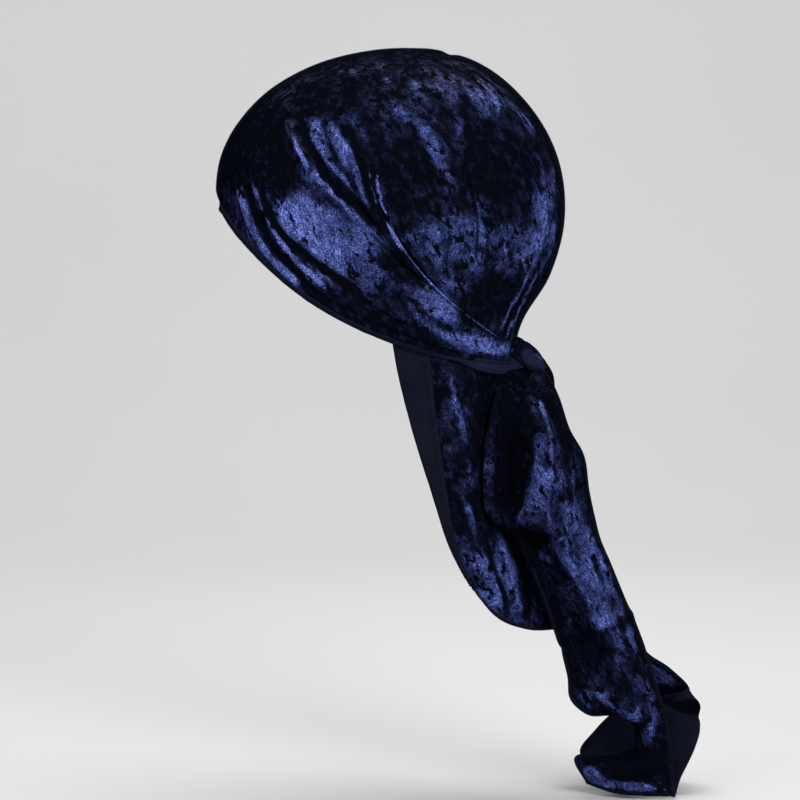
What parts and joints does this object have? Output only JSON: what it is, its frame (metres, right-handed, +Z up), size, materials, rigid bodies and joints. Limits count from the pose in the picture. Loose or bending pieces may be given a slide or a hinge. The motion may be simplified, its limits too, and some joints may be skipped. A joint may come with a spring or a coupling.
{
  "type": "durag",
  "caption": "Velvet durag tied at the nape: a close fitted cap with a standing centre seam, gathered side ties wound into a knot, a neck flap and two long tails.",
  "frame": {"origin": "just under the cloth of the crown, where the top of the wearer's head touches it", "axes": "+Z up, -X the way the wearer faces, so +X is behind the wearer and -Y is the wearer's left"},
  "size_m": [0.3297, 0.1684, 0.5049],
  "materials": {
    "velvet": "crushed pile, patchy sheen, matte wrong side",
    "overlock_thread": "matte overlocked thread"
  },
  "bodies": {
    "root": {"side_panel_left": "velvet", "side_panel_right": "velvet", "centre_seam": "overlock_thread", "front_hem_left": "overlock_thread", "front_hem_right": "overlock_thread", "knot": "velvet", "cape_left": "velvet", "cape_right": "velvet", "cape_seam": "overlock_thread", "tail_left": "velvet", "tail_right": "velvet"}
  },
  "joints": []
}
